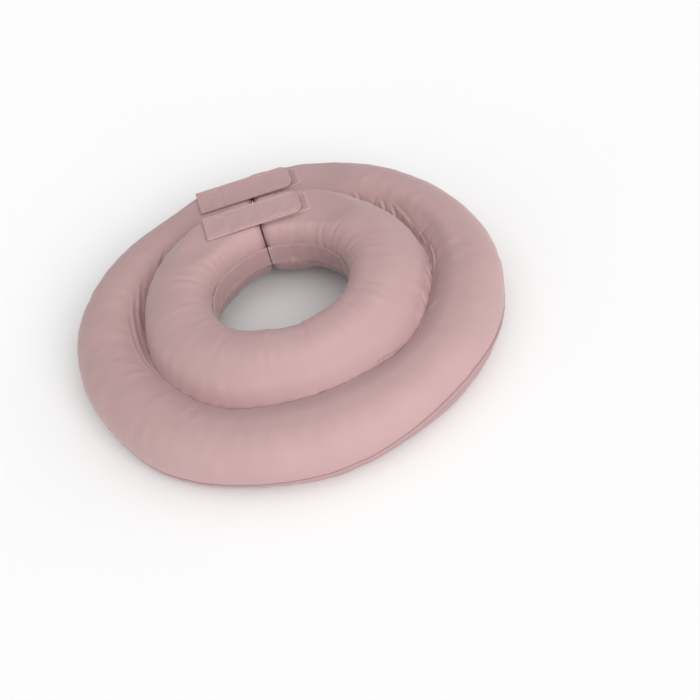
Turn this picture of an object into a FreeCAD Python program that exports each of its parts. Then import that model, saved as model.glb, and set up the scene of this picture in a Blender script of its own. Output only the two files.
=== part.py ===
"""Soft recovery (elizabethan) collar: a stuffed outer ring sewn round a stuffed neck cushion.

The collar lies flat on its ring, axis along +Z, and the origin is on the floor at the centre of
the neck opening.  -Y is the throat side, +Y the nape side, where a radial slit lets the collar
open.  Two hook-and-loop tabs close the slit.  The real fabric is one C-shaped piece; here it is
divided at the throat, where the collar flexes, into a left half (-X) and a right half (+X).
Each half has two stuffed channels.  All lengths are in millimetres.
"""
import FreeCAD
import Part
import math
import os

V = FreeCAD.Vector

# Driving dimensions of the collar.
OUTER_RADIUS = 180.0        # rim of the stuffed ring
SEAM_RADIUS = 122.5         # circle where ring and cushion are sewn together
SEAM_HEIGHT = 45.0          # height of that seam above the floor
RING_HEIGHT = 54.0          # crown of the ring above the floor
RING_TUBE_RADIUS = 28.3     # section of the stuffed ring, flattened at the floor
NECK_RADIUS = 57.0          # clear neck opening, inside the neck band
CUSHION_TOP = 76.5          # crown of the neck cushion
CUSHION_BOTTOM = 16.0       # underside of the neck cushion
RIM_SEAM_HEIGHT = 16.0      # where the ring's top and bottom covers meet

# Fabric and seams.
COVER = 1.2                 # cover fabric with its lining
SEAM_TAPE = 1.6             # thickness of the seam between ring and cushion
SEAM_TAPE_DEPTH = 5.0       # how far that seam tape hangs below the seam line
WELT_RADIUS = 1.3           # piping in the rim seam
WELT_ROOM = 0.06            # clearance of the groove that holds the piping
NECK_BAND_HEIGHT = 20.0     # binding round the neck opening
THROAT_GAP = 0.2            # each half's distance from the dividing plane at the throat
SLIT_GAP = 0.4              # each half's distance from the slit's plane at the nape
REACH = 400.0               # longer than anything in the collar, for cutting boxes

# Closure tabs, one over each channel.
TAB_WIDTH = 30.0
TAB_THICKNESS = 1.6
TAPE_THICKNESS = 1.2        # hook tape, and loop tape
TAPE_CLEARANCE = 0.4        # between hook tape and loop tape, and under the loose strap
TAB_SEWN_END = -46.0        # x of the tab's sewn end
TAB_HINGE = -24.0           # x where the tab starts to lift
TAB_FREE_END = 38.0         # x of the tab's free end
HOOK_START, HOOK_END = 6.0, 35.0
LOOP_START, LOOP_END = 3.0, 46.0
HINGE_ROOM = 0.4            # between the sewn part and the lifting part
TAB_CORNER = 8.0            # corner radius of the free end
TAPE_INSET = 2.5            # tapes are this much narrower than the tab, each side
RING_TAB_Y = 149.5          # the tabs' middle lines
NECK_TAB_Y = 81.5
PRESSED_LENGTH = 48.0       # the tabs press each channel flat this far from the slit
PRESSED_CURVE = 45.0        # radius of the rise from the flat back to the full channel
RING_PRESSED = 46.5         # height of the ring's flat on the right half
CUSHION_PRESSED = 70.0      # height of the cushion's flat on the right half
LEFT_LIFT = 2 * TAPE_THICKNESS      # the left half's flats are higher by the two tapes

# Section of the ring: an arc that stands on a flat foot, drawn to a tip at the seam.
RING_CENTRE = (OUTER_RADIUS - RING_TUBE_RADIUS, RING_HEIGHT - RING_TUBE_RADIUS)
RING_TIP = (SEAM_RADIUS + SEAM_TAPE / 2, SEAM_HEIGHT)

# Section of the cushion: four rounded corners and a tip at the seam.
CUSHION_TIP = (SEAM_RADIUS - SEAM_TAPE / 2, SEAM_HEIGHT)
CUSHION_WALL = NECK_RADIUS + COVER
SHOULDER_RADIUS = 37.0      # the broad curve down to the seam
SHOULDER_CENTRE = (84.0, CUSHION_TOP - SHOULDER_RADIUS)
LIP_RADIUS = 22.0           # the curve over into the neck opening
HEEL_RADIUS = 18.0          # the curve under at the neck opening
BELLY_RADIUS = 26.0         # the curve up to the seam from below
BELLY_CENTRE = (92.0, CUSHION_BOTTOM + BELLY_RADIUS)

PARTS = "parts"


def on_circle(centre, radius, angle):
    """The point (r, z) of a circle in the section plane, angle in radians."""
    return (centre[0] + radius * math.cos(angle), centre[1] + radius * math.sin(angle))


def tangent_angle(tip, centre, radius, side):
    """Angle on the circle of the tangent point seen from an outside point."""
    dr, dz = tip[0] - centre[0], tip[1] - centre[1]
    return math.atan2(dz, dr) + side * math.acos(radius / math.hypot(dr, dz))


def vec(point):
    """A section point (r, z) in the plane y = 0."""
    return V(point[0], 0, point[1])


def line(a, b):
    return Part.LineSegment(vec(a), vec(b)).toShape()


def arc(centre, radius, start, end):
    middle = on_circle(centre, radius, (start + end) / 2)
    points = [on_circle(centre, radius, start), middle, on_circle(centre, radius, end)]
    return Part.Arc(*[vec(p) for p in points]).toShape()


def ring_section():
    """Closed outline of the stuffed ring."""
    top = tangent_angle(RING_TIP, RING_CENTRE, RING_TUBE_RADIUS, -1)
    bottom = tangent_angle(RING_TIP, RING_CENTRE, RING_TUBE_RADIUS, 1)
    foot = math.asin(RING_CENTRE[1] / RING_TUBE_RADIUS)
    foot_out = on_circle(RING_CENTRE, RING_TUBE_RADIUS, -foot)
    foot_in = on_circle(RING_CENTRE, RING_TUBE_RADIUS, foot - math.pi)
    edges = [
        line(RING_TIP, on_circle(RING_CENTRE, RING_TUBE_RADIUS, top)),
        arc(RING_CENTRE, RING_TUBE_RADIUS, top, -foot),
        line(foot_out, foot_in),
        arc(RING_CENTRE, RING_TUBE_RADIUS, foot - math.pi, bottom - 2 * math.pi),
        line(on_circle(RING_CENTRE, RING_TUBE_RADIUS, bottom), RING_TIP),
    ]
    return Part.Wire(edges)


def cushion_section():
    """Closed outline of the stuffed neck cushion."""
    top = tangent_angle(CUSHION_TIP, SHOULDER_CENTRE, SHOULDER_RADIUS, 1)
    bottom = tangent_angle(CUSHION_TIP, BELLY_CENTRE, BELLY_RADIUS, -1)
    lip = (CUSHION_WALL + LIP_RADIUS, CUSHION_TOP - LIP_RADIUS)
    heel = (CUSHION_WALL + HEEL_RADIUS, CUSHION_BOTTOM + HEEL_RADIUS)
    edges = [
        line(CUSHION_TIP, on_circle(SHOULDER_CENTRE, SHOULDER_RADIUS, top)),
        arc(SHOULDER_CENTRE, SHOULDER_RADIUS, top, math.pi / 2),
        line((SHOULDER_CENTRE[0], CUSHION_TOP), (lip[0], CUSHION_TOP)),
        arc(lip, LIP_RADIUS, math.pi / 2, math.pi),
        line((CUSHION_WALL, lip[1]), (CUSHION_WALL, heel[1])),
        arc(heel, HEEL_RADIUS, math.pi, 1.5 * math.pi),
        line((heel[0], CUSHION_BOTTOM), (BELLY_CENTRE[0], CUSHION_BOTTOM)),
        arc(BELLY_CENTRE, BELLY_RADIUS, -math.pi / 2, bottom),
        line(on_circle(BELLY_CENTRE, BELLY_RADIUS, bottom), CUSHION_TIP),
    ]
    return Part.Wire(edges)


def turned(face):
    """A section face turned all the way round the collar's axis."""
    return face.revolve(V(0, 0, 0), V(0, 0, 1), 360)


def box(x, y, z):
    """A box from three (low, high) pairs."""
    size = [high - low for low, high in (x, y, z)]
    return Part.makeBox(*size, V(x[0], y[0], z[0]))


def side_range(side, low, high):
    """An x range on one side of the plane x = 0, for side -1 (left) or 1 (right)."""
    return (low, high) if side > 0 else (-high, -low)


def half_space(side, slit_gap):
    """The room that one half of the collar may take."""
    throat = box(side_range(side, THROAT_GAP, REACH), (-REACH, 0), (-REACH, REACH))
    nape = box(side_range(side, slit_gap, REACH), (0, REACH), (-REACH, REACH))
    return throat.fuse(nape)


def pressed_room(side, height):
    """What the closure tabs press away from a channel, above a flat at that height."""
    flat = box(side_range(side, -1, PRESSED_LENGTH), (0, REACH), (height, REACH))
    pivot = V(side * PRESSED_LENGTH, 0, height + PRESSED_CURVE)
    return flat.fuse(Part.makeCylinder(PRESSED_CURVE, REACH, pivot, V(0, 1, 0)))


def polygon_face(points):
    return Part.Face(Part.makePolygon([vec(p) for p in points + points[:1]]))


def channel(section, side, pressed):
    """Cover shell, stuffing core and end cap of one stuffed channel on one side."""
    inner = section.makeOffset2D(-COVER, 2, False, False, False)
    outer_solid = turned(Part.Face(section)).cut(pressed_room(side, pressed))
    inner_solid = turned(Part.Face(inner)).cut(pressed_room(side, pressed - COVER))
    room = half_space(side, SLIT_GAP + COVER)
    cap_room = box(side_range(side, SLIT_GAP, SLIT_GAP + COVER), (0, REACH), (-REACH, REACH))
    fill = inner_solid.common(room)
    cover = outer_solid.cut(inner_solid).common(room)
    return cover, fill, outer_solid.common(cap_room)


def above(points):
    """The turned room above a dividing line in the section, for splitting covers."""
    low, high = points
    return turned(polygon_face([low, high, (high[0], REACH), (low[0], REACH)]))


def rim_seam():
    """The section point where the ring's top and bottom covers meet at the rim."""
    rise = RIM_SEAM_HEIGHT - RING_CENTRE[1]
    return (RING_CENTRE[0] + math.sqrt(RING_TUBE_RADIUS ** 2 - rise ** 2), RIM_SEAM_HEIGHT)


def welt_circle(radius):
    """The turned round cord of the rim seam, with that section radius."""
    r, z = rim_seam()
    return Part.makeTorus(r, radius, V(0, 0, z), V(0, 0, 1))


def ring_pieces(side, pressed):
    """The stuffed ring of one half: two covers, stuffing, end cap and piping."""
    cover, fill, cap = channel(ring_section(), side, pressed)
    groove = welt_circle(WELT_RADIUS + WELT_ROOM)
    cover, fill, cap = cover.cut(groove), fill.cut(groove), cap.cut(groove)
    rim = rim_seam()
    run = ((rim[0] - RING_TIP[0]) / 3, (rim[1] - RING_TIP[1]) / 3)
    before = (RING_TIP[0] - run[0], RING_TIP[1] - run[1])
    beyond = (rim[0] + run[0], rim[1] + run[1])
    upper = above([before, beyond])
    return {
        "ring_top_cover": cover.common(upper),
        "ring_bottom_cover": cover.cut(upper),
        "ring_fill": fill,
        "ring_end_cap": cap,
        "rim_welt": welt_circle(WELT_RADIUS).common(half_space(side, SLIT_GAP)),
    }


def neck_band(side):
    """The binding on the wall of the neck opening."""
    low = (CUSHION_TOP - LIP_RADIUS + CUSHION_BOTTOM + HEEL_RADIUS - NECK_BAND_HEIGHT) / 2
    outside = Part.makeCylinder(CUSHION_WALL, NECK_BAND_HEIGHT, V(0, 0, low))
    inside = Part.makeCylinder(NECK_RADIUS, NECK_BAND_HEIGHT, V(0, 0, low))
    return outside.cut(inside).common(half_space(side, SLIT_GAP))


def channel_seam(side):
    """The seam tape between ring and cushion, from the seam line down."""
    radii = (SEAM_RADIUS - SEAM_TAPE / 2, SEAM_RADIUS + SEAM_TAPE / 2)
    height, low = SEAM_TAPE_DEPTH, SEAM_HEIGHT - SEAM_TAPE_DEPTH
    inside, outside = [Part.makeCylinder(r, height, V(0, 0, low)) for r in radii]
    return outside.cut(inside).common(half_space(side, SLIT_GAP))


def cushion_pieces(side, pressed):
    """The neck cushion of one half: two covers, stuffing, end cap, band and seam."""
    cover, fill, cap = channel(cushion_section(), side, pressed)
    wall_middle = (CUSHION_TOP - LIP_RADIUS + CUSHION_BOTTOM + HEEL_RADIUS) / 2
    upper = above([(NECK_RADIUS - 20, wall_middle), (SEAM_RADIUS + 20, SEAM_HEIGHT)])
    seam = channel_seam(side)
    return {
        "cushion_top_cover": cover.common(upper),
        "cushion_bottom_cover": cover.cut(upper),
        "cushion_fill": fill,
        "cushion_end_cap": cap,
        "neck_band": neck_band(side),
        "channel_seam": seam,
    }


def strip(x_range, y_middle, width, z_range, corner=0.0):
    """A flat strip along x; its high-x end can have rounded corners."""
    x_middle = sum(x_range) / 2
    solid = box(x_range, (y_middle - width / 2, y_middle + width / 2), z_range)
    if not corner:
        return solid
    upright = [e for e in solid.Edges if abs(e.tangentAt(e.FirstParameter).z) > 0.99]
    return solid.makeFillet(corner, [e for e in upright if e.CenterOfMass.x > x_middle])


def closure(name, y_middle, pressed):
    """One hook-and-loop tab, from the loop tape on the right half up to the strap."""
    tape_width = TAB_WIDTH - 2 * TAPE_INSET
    loop_top = pressed + TAPE_THICKNESS
    hook_low = loop_top + TAPE_CLEARANCE
    strap_low = hook_low + TAPE_THICKNESS
    strap_top = strap_low + TAB_THICKNESS
    sewn_low = pressed + LEFT_LIFT
    return {
        f"{name}_loop_tape": strip((LOOP_START, LOOP_END), y_middle, tape_width,
                                   (pressed, loop_top), TAB_CORNER - TAPE_INSET),
        f"{name}_hook_tape": strip((HOOK_START, HOOK_END), y_middle, tape_width,
                                   (hook_low, strap_low), TAB_CORNER - TAPE_INSET),
        f"{name}_tab_strap": strip((TAB_HINGE, TAB_FREE_END), y_middle, TAB_WIDTH,
                                   (strap_low, strap_top), TAB_CORNER),
        f"{name}_tab_base": strip((TAB_SEWN_END, TAB_HINGE - HINGE_ROOM), y_middle, TAB_WIDTH,
                                  (sewn_low, strap_top)),
    }


def build():
    """Every piece of the collar, by name."""
    pieces = {}
    for side, word, lift in ((-1, "left", LEFT_LIFT), (1, "right", 0.0)):
        made = ring_pieces(side, RING_PRESSED + lift)
        made.update(cushion_pieces(side, CUSHION_PRESSED + lift))
        pieces.update({f"{word}_{name}": shape for name, shape in made.items()})
    pieces.update(closure("ring", RING_TAB_Y, RING_PRESSED))
    pieces.update(closure("neck", NECK_TAB_Y, CUSHION_PRESSED))
    return pieces


def main():
    os.makedirs(PARTS, exist_ok=True)
    for name, shape in build().items():
        solids = shape.Solids
        if not shape.isValid() or len(solids) != 1:
            print("check", name, "valid", shape.isValid(), "solids", len(solids))
        solids[0].exportStep(os.path.join(PARTS, name + ".step"))
        low, high = shape.BoundBox.ZMin, shape.BoundBox.ZMax
        print(f"{name:28s} {shape.Volume / 1000:9.2f} cm3  z {low:6.2f} to {high:6.2f}")


main()
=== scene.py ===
"""Looks of the soft recovery collar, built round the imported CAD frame.

Metres, +Z up the neck opening, -Y the throat, +Y the nape with its slit.  Each stuffed channel is
a skin on a grid: columns go round the collar from the slit, rows go round the section from the
seam between ring and cushion.  Blender's cloth inflates the skins from panels that are longer
than their seams, which is what gathers real ones; the folds in the valley are laid on top.
"""
import bpy
import math
import numpy as np
from mathutils import Matrix, Vector


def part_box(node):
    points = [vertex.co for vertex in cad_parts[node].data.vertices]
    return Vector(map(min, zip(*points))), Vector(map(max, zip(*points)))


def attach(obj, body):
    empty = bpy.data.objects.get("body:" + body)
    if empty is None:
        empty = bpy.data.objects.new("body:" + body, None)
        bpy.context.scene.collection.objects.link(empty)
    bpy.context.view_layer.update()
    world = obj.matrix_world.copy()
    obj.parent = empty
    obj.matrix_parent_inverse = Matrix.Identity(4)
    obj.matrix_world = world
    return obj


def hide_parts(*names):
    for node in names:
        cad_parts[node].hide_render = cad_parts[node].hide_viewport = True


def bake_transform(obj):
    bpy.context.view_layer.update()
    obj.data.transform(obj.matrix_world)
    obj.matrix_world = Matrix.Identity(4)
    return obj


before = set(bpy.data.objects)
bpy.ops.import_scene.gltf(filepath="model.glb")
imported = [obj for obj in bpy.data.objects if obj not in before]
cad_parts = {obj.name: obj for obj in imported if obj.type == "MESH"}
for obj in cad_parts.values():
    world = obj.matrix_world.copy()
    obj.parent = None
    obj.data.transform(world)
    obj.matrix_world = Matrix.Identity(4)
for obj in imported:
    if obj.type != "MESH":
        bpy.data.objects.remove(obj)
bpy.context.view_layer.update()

MM = 0.001
TAU = 2 * math.pi
NAPE = math.pi / 2          # azimuth of the slit
UP = np.array([0.0, 0.0, 1.0])
rng = np.random.default_rng(11)

# Section of the collar, the same as the CAD's.
SEAM_R, SEAM_Z = 122.5 * MM, 45.0 * MM
SEAM_HALF = 0.3 * MM
RING_R, RING_C = 28.3 * MM, (151.7 * MM, 25.7 * MM)
WALL_R = 58.2 * MM
TOP_Z, BOTTOM_Z = 76.5 * MM, 16.0 * MM
SHOULDER_R, SHOULDER_C = 37.0 * MM, (84.0 * MM, 39.5 * MM)
LIP_R, HEEL_R = 22.0 * MM, 18.0 * MM
BELLY_R, BELLY_C = 26.0 * MM, (92.0 * MM, 42.0 * MM)
RIM_SEAM_Z = 16.0 * MM
WELT_R = 1.3 * MM

# How far from the seam, along the section, its unevenness is felt.
SHOULDER_ARC = 34.0 * MM    # the skin bulges most halfway along this
SHIFT_WIDTH = 28.0 * MM
VALLEY_WIDTH = 11.0 * MM
CREASE_WIDTH = 4.5 * MM

# Grids.
CLOTH_COLUMNS, CLOTH_ROWS = 400, 72
SIDE_COLUMNS, FRONT_COLUMNS = 300, 680
SKIN_ROWS = 132
CROWDING = 0.6              # how much the rows crowd towards the seam
CLOTH_SCALE = 10            # the cloth is simulated this much larger than life
CLOTH_FRAMES = 25
CLOTH_REACH = 5 * MM        # no point moves further than this
CLOTH_SETTINGS = {
    "quality": 6, "mass": 0.3, "air_damping": 2, "tension_stiffness": 20,
    "compression_stiffness": 5, "shear_stiffness": 5, "bending_stiffness": 0.1,
    "bending_damping": 0.5, "use_pressure": True, "uniform_pressure_force": 5,
}

# The closure at the slit.
SLIT_HALF = 0.4 * MM
END_ROUND = 7.0 * MM        # rounding of the stuffed ends at the slit
PRESSED_LENGTH, PRESSED_CURVE = 48.0 * MM, 110.0 * MM
PRESS_SOFTNESS = 1.4 * MM
TAB_CORNER = 8.0 * MM
TAB_EDGE = 2.2 * MM         # from a tab's edge to its stitching
TAPE_SEWN = 11.0 * MM       # from a tab's middle to the stitching that holds its hook tape
GROOVE = 0.28 * MM          # how deep stitching pulls the tab's fabric in
STITCH_RADIUS = 0.22 * MM


# ---- sections ----

def arc_points(centre, radius, start, end, n=600):
    """Points along an arc, from one angle to another."""
    a = np.linspace(start, end, n)
    return np.stack([centre[0] + radius * np.cos(a), centre[1] + radius * np.sin(a)], 1)


def line_points(a, b, n=100):
    """Points along a straight line."""
    t = np.linspace(0, 1, n)[:, None]
    return np.array(a) * (1 - t) + np.array(b) * t


def tangent_angle(tip, centre, radius, side):
    """Angle on an arc at which a line from the tip touches it."""
    dr, dz = tip[0] - centre[0], tip[1] - centre[1]
    return math.atan2(dz, dr) + side * math.acos(radius / math.hypot(dr, dz))


def ring_loop():
    """The ring's section: seam, crown, rim, foot, inner wall, seam."""
    tip = (SEAM_R + SEAM_HALF, SEAM_Z)
    top = tangent_angle(tip, RING_C, RING_R, -1)
    bottom = tangent_angle(tip, RING_C, RING_R, 1) - TAU
    foot = math.asin(RING_C[1] / RING_R)
    return np.concatenate([
        line_points(tip, arc_points(RING_C, RING_R, top, top, 1)[0]),
        arc_points(RING_C, RING_R, top, -foot, 1500),
        line_points((RING_C[0] + RING_R * math.cos(foot), 0),
                    (RING_C[0] - RING_R * math.cos(foot), 0)),
        arc_points(RING_C, RING_R, foot - math.pi, bottom, 1000),
        line_points(arc_points(RING_C, RING_R, bottom, bottom, 1)[0], tip),
    ])


def cushion_loop():
    """The cushion's section: seam, shoulder, crown, lip, neck wall, heel, belly, seam."""
    tip = (SEAM_R - SEAM_HALF, SEAM_Z)
    top = tangent_angle(tip, SHOULDER_C, SHOULDER_R, 1)
    bottom = tangent_angle(tip, BELLY_C, BELLY_R, -1)
    return np.concatenate([
        line_points(tip, arc_points(SHOULDER_C, SHOULDER_R, top, top, 1)[0]),
        arc_points(SHOULDER_C, SHOULDER_R, top, math.pi / 2),
        arc_points((WALL_R + LIP_R, TOP_Z - LIP_R), LIP_R, math.pi / 2, math.pi),
        arc_points((WALL_R + HEEL_R, BOTTOM_Z + HEEL_R), HEEL_R, math.pi, 1.5 * math.pi),
        arc_points(BELLY_C, BELLY_R, -math.pi / 2, bottom),
        line_points(arc_points(BELLY_C, BELLY_R, bottom, bottom, 1)[0], tip),
    ])


# ---- smooth functions ----

def bump(azimuth, centre, width):
    """1 at an azimuth, falling off over a width, both in degrees."""
    away = (np.degrees(azimuth) - centre + 180) % 360 - 180
    return np.exp(-(away / width) ** 2)


def near(s, centre, width):
    """1 at the centre, falling off over a width."""
    return np.exp(-((s - centre) / width) ** 2)


def smooth(x, low, high):
    """0 below low, 1 above high, smooth between."""
    t = np.clip((x - low) / (high - low), 0, 1)
    return t * t * (3 - 2 * t)


def cubic(values, at, closed):
    """Smooth values between the entries of the first axis."""
    n = len(values)
    i = np.floor(at).astype(int)
    f = (at - i).reshape((-1,) + (1,) * (values.ndim - 1))
    if closed:
        a, b, c, d = (values[(i + k) % n] for k in (-1, 0, 1, 2))
    else:
        a, b, c, d = (values[np.clip(i + k, 0, n - 1)] for k in (-1, 0, 1, 2))
    return b + 0.5 * f * (c - a + f * (2 * a - 5 * b + 4 * c - d + f * (3 * (b - c) + d - a)))


def spread(table, azimuth, across):
    """A coarse table (round the collar, across it) as smooth values; across runs from 0 to 1."""
    turn = ((azimuth - NAPE) % TAU) / TAU * len(table)
    return cubic(cubic(table, turn, True).T, across * (table.shape[1] - 1), False).T


def grid_noise(azimuth, rows, around, across):
    """Smooth noise on a grid; it closes on itself round the collar."""
    return spread(rng.standard_normal((around, across)), azimuth, np.linspace(0, 1, rows))


# ---- how the stuffed channels are uneven ----

def seam_drop(azimuth):
    """How deep the seam is drawn in, more at the right, the back and the left than in front."""
    return MM * (-1.0 + 9.0 * bump(azimuth, 30, 30) + 1.2 * bump(azimuth, -12, 20)
                 + 5.0 * bump(azimuth, 160, 26) + 4.0 * bump(azimuth, 100, 34))


def crease_drop(azimuth):
    """How much deeper the narrow crease at the bottom of the valley runs."""
    return MM * (5.0 * bump(azimuth, 42, 26) + 3.5 * bump(azimuth, 172, 24)
                 + 3.0 * bump(azimuth, 100, 34) + 2.0 * bump(azimuth, 232, 18)
                 + 2.0 * bump(azimuth, 338, 16) + 1.5 * bump(azimuth, 306, 14))


def seam_shift(azimuth):
    """How far out of round the seam runs."""
    return MM * (-4.0 * bump(azimuth, 176, 20) + 2.5 * bump(azimuth, 236, 18)
                 + 4.5 * bump(azimuth, 312, 18) + 2.5 * bump(azimuth, 0, 18))


def rim_shift(azimuth):
    """How far out of round the rim runs."""
    return MM * (2.2 * bump(azimuth, 163, 16) - 2.2 * bump(azimuth, 203, 13)
                 + 1.4 * bump(azimuth, 228, 12) + 1.8 * bump(azimuth, 272, 18)
                 - 1.2 * bump(azimuth, 306, 16))


def nape_sag(azimuth):
    """How much lower the ring's crown lies near the nape."""
    a = np.degrees(azimuth)
    return 4.2 * MM * smooth(a, 30, 56) * (1 - smooth(a, 112, 140))


class Channel:
    """One stuffed channel: its section, how full it is and where its fabric is gathered."""

    def __init__(self, name, loop, sign, fullness, lumps):
        self.name, self.loop, self.sign, self.fullness = name, loop, sign, fullness
        step = np.linalg.norm(np.diff(loop, axis=0), axis=1)
        self.arc = np.concatenate([[0], np.cumsum(step)])
        self.length = self.arc[-1]
        self.middle = (loop.min(0) + loop.max(0)) / 2
        self.lumps = lumps * rng.standard_normal((20, 4))

    def rows_at(self, rows):
        """Arc positions of the rows."""
        t = np.linspace(0, 1, rows + 1)
        return (t - CROWDING * np.sin(TAU * t) / TAU) * self.length

    def section(self, s):
        """r and z at arc positions."""
        return np.interp(s, self.arc, self.loop[:, 0]), np.interp(s, self.arc, self.loop[:, 1])

    def normal(self, s):
        """r and z of the section's outward normal at arc positions."""
        h = 1.5 * MM
        r0, z0 = self.section(np.clip(s - h, 0, self.length))
        r1, z1 = self.section(np.clip(s + h, 0, self.length))
        size = np.hypot(r1 - r0, z1 - z0)
        return self.sign * (z0 - z1) / size, self.sign * (r1 - r0) / size

    def arc_near(self, r, z):
        """Arc position of the loop's point nearest to r and z."""
        return self.arc[int(np.argmin(np.hypot(self.loop[:, 0] - r, self.loop[:, 1] - z)))]

    def at_seam(self, s, width):
        """1 at the seam's two edges of the skin, falling off over a width."""
        return near(s, 0, width) + near(s, self.length, width)

    def design(self, azimuth, rows):
        """r, z and the section's normal before the cloth, for columns and rows."""
        a = azimuth[:, None]
        s = self.slid(a, rows[None, :])
        r, z = self.section(s)
        nr, nz = self.normal(s)
        full = self.fullness * np.sin(np.pi * np.clip(s / SHOULDER_ARC, 0, 1)) ** 2
        full = full - self.slack(a, s)
        lump = spread(self.lumps, azimuth, rows / self.length) * self.loose(s)
        r = r + nr * (full + lump) + seam_shift(a) * self.at_seam(s, SHIFT_WIDTH)
        z = z + nz * (full + lump) - seam_drop(a) * self.at_seam(s, VALLEY_WIDTH)
        z = z - crease_drop(a) * self.at_seam(s, CREASE_WIDTH)
        return (*self.settled(a, r, z), nr, nz)

    def slid(self, a, s):
        """Arc positions after the section has turned a little about its tube."""
        return s + 0 * a

    def slack(self, a, s):
        """How much less full the channel is than its section."""
        return 0 * s

    def settled(self, a, r, z):
        """r and z after the channel has settled as a whole."""
        return r, z


class Ring(Channel):
    """The outer ring."""

    def __init__(self):
        super().__init__("ring", ring_loop(), 1, 1.6 * MM, 0.7 * MM)
        self.rim = self.arc_near(RING_C[0] + RING_R * 0.95, RIM_SEAM_Z)

    def loose(self, s):
        """Where the skin is free to be lumpy."""
        return (1 - self.at_seam(s, 13 * MM)).clip(0, 1)

    def slid(self, a, s):
        """The rim seam runs lower at the left of the throat and higher at the right."""
        slide = 5.0 * bump(a, 222, 38) - 8.0 * bump(a, 312, 22)
        return s + slide * MM * near(s, self.rim, 26 * MM)

    def settled(self, a, r, z):
        """The rim is a little out of round, and the crown sags near the nape."""
        outer = smooth(r, 130 * MM, 172 * MM)
        crown = smooth(z, 12 * MM, 56 * MM) * smooth(r, 124 * MM, 138 * MM)
        return r + rim_shift(a) * outer, z - nape_sag(a) * crown

    def gather(self, a, s):
        """How much longer the fabric is than its place, as a share."""
        seam = 0.006 + 0.03 * bump(a, 36, 26) + 0.012 * bump(a, -26, 14) + 0.015 * bump(a, 172, 22)
        rim = 0.001 + 0.006 * bump(a, 228, 30) + 0.005 * bump(a, 2, 40)
        return (seam * near(s, 0, 15 * MM) + rim * near(s, self.rim, 22 * MM)
                + 0.03 * near(s, self.length, 15 * MM))

    def pinned(self, r, z):
        """Where the cloth is held: at the seam and on the floor."""
        return ((r < SEAM_R + 0.5 * MM) & (z > SEAM_Z - 0.5 * MM)) | (z < 0.3 * MM)


class Cushion(Channel):
    """The neck cushion."""

    def __init__(self):
        super().__init__("cushion", cushion_loop(), -1, 1.2 * MM, 0.8 * MM)
        self.lip = self.arc_near(WALL_R + 5 * MM, TOP_Z - 5 * MM)
        self.wall = self.arc_near(WALL_R, (TOP_Z - LIP_R + BOTTOM_Z + HEEL_R) / 2)

    def loose(self, s):
        """Where the skin is free to be lumpy: not at its seams, and not on the flat neck wall."""
        tied = self.at_seam(s, 13 * MM) + near(s, self.wall, 20 * MM)
        return (1 - tied).clip(0, 1)

    def slack(self, a, s):
        """The shoulder is less full over the throat."""
        return 5.0 * MM * bump(a, 284, 48) * near(s, 23 * MM, 15 * MM) * smooth(s, 0, 6 * MM)

    def gather(self, a, s):
        """How much longer the fabric is than its place, as a share."""
        seam = 0.008 + 0.03 * bump(a, -27, 15) + 0.03 * bump(a, 30, 24) + 0.02 * bump(a, 176, 26)
        return (seam * near(s, 0, 13 * MM) + 0.022 * near(s, self.lip, 13 * MM)
                + 0.04 * near(s, self.length, 15 * MM))

    def pinned(self, r, z):
        """Where the cloth is held: at the seam and on the neck wall."""
        return ((r > SEAM_R - 0.5 * MM) & (z > SEAM_Z - 0.5 * MM)) | (r < WALL_R + 0.1 * MM)


ring, cushion = Ring(), Cushion()

# Folds that the valley presses into the skins: where they run, as degrees and millimetres from
# the seam, and their height and width in millimetres.
FOLDS = {
    "ring": [
        ([(38, 10), (36, 7), (34, 1.5)], 1.0, 1.2),
        ([(33, 9), (30, 5.5), (28, 1.5)], 1.1, 1.2),
        ([(32, 11), (26, 8.5), (19, 5.5)], 0.7, 1.2),
        ([(14, 4.5), (10, 3.5), (6, 2)], 0.6, 1.1),
        ([(4, 4.5), (-3, 3.2), (-11, 1.2)], 0.8, 1.1),
        ([(-34, 1.5), (-31, 5), (-29, 9)], 0.9, 1.2),
        ([(-40, 1.5), (-43, 3.5), (-47, 4.5)], 0.5, 0.9),
        ([(50, 11), (48, 7), (46, 3)], 0.7, 1.3),
        ([(65, 11), (63, 7), (61, 3)], 0.5, 1.4),
        ([(146, 12), (156, 7), (170, 3)], 0.9, 1.3),
        ([(154, 12), (168, 8), (182, 5), (196, 2)], 1.1, 1.3),
        ([(166, 13), (178, 10), (190, 7), (203, 3.5)], 0.9, 1.2),
        ([(130, 13), (136, 8), (141, 3)], 0.9, 1.6),
    ],
    "cushion": [
        ([(296, 3.0), (301, 3.5), (306, 2.0)], 0.5, 0.9),
        ([(-63, 0.5), (-61.5, 5)], -0.6, 1.0),
        ([(-76, 0.5), (-75, 4)], -0.5, 1.0),
        ([(172, 5), (182, 3.5), (192, 2)], 0.5, 1.1),
    ],
}
# Hollows pressed into the skins: degrees, millimetres from the seam, depth, and both widths.
HOLLOWS = {
    "ring": [(14, 14, 2.6, 9, 8), (30, 11, 1.6, 9, 7), (168, 9, 1.2, 16, 7), (-2, 11, 0.8, 8, 6)],
    "cushion": [(352, 6, 0.7, 10, 6)],
}
# The puckers where the cushion's skin is eased into the seam at the right.
for centre in np.arange(-40.0, -12.0, 3.1):
    at, reach = centre + rng.uniform(-1.3, 1.3), rng.uniform(4.0, 11.0)
    FOLDS["cushion"].append(([(at - 1.2, -4.0), (at + 0.2 * reach, 0.45 * reach),
                              (at + 0.45 * reach, reach)],
                             0.13 * reach * rng.uniform(0.6, 1.2), rng.uniform(0.85, 1.1)))


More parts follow.
